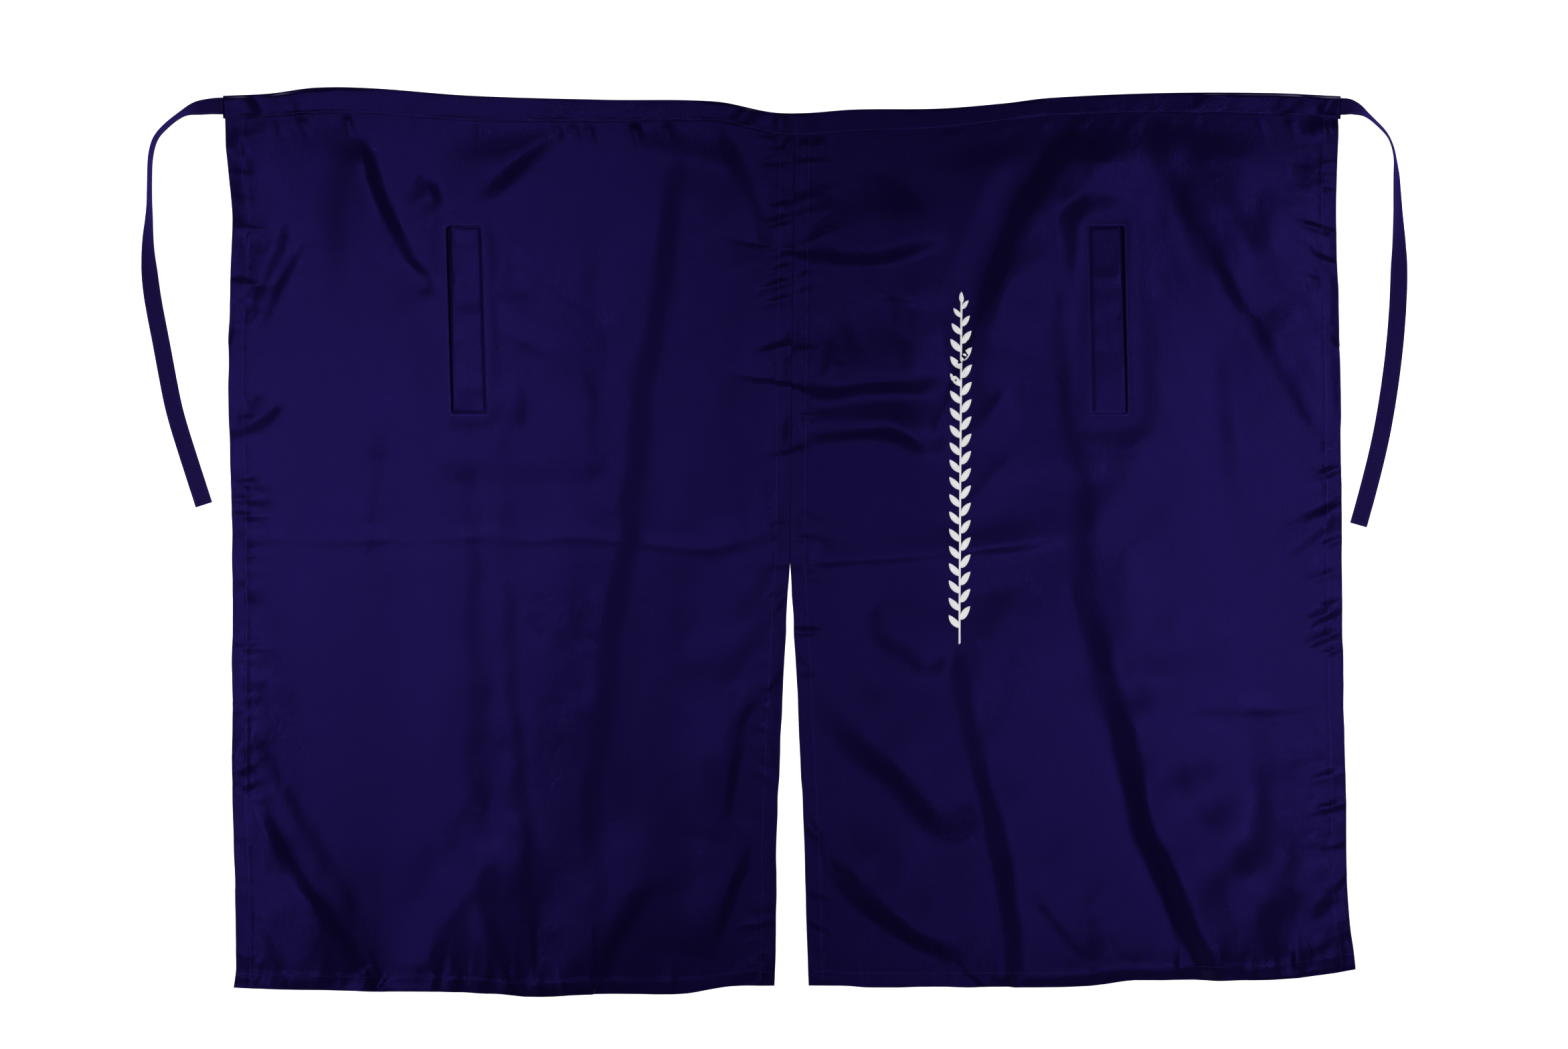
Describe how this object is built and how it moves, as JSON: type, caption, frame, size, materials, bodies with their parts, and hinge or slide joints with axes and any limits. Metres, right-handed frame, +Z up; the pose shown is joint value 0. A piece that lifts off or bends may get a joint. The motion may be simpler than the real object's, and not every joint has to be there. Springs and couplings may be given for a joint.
{
  "type": "waist apron",
  "caption": "Long waist apron laid flat, with a folded waistband, two ties, welt pockets and two cloth panels that part in a centre slit.",
  "frame": {"origin": "on the table under the lying apron, in the middle of its bounding box", "axes": "+X across the apron towards the right-hand tie as seen from the front side, +Y towards the waistband, +Z up, out of the front side"},
  "size_m": [1.1378, 0.8176, 0.0151],
  "materials": {
    "apron_cloth": "dark violet-blue twill with a slight satin sheen",
    "band_cloth": "the same twill, folded double",
    "tie_cloth": "the same twill, folded into a flat tape",
    "pocket_cloth": "plain matt lining cloth",
    "seam_thread": "polyester sewing thread",
    "embroidery_thread": "white satin-stitch embroidery thread with a silky gloss"
  },
  "bodies": {
    "root": {"waistband": "band_cloth", "left_panel": "apron_cloth", "right_panel": "apron_cloth", "left_tie": "tie_cloth", "right_tie": "tie_cloth", "left_pocket_welt": "apron_cloth", "right_pocket_welt": "apron_cloth", "left_pocket_bag": "pocket_cloth", "right_pocket_bag": "pocket_cloth"}
  },
  "joints": []
}
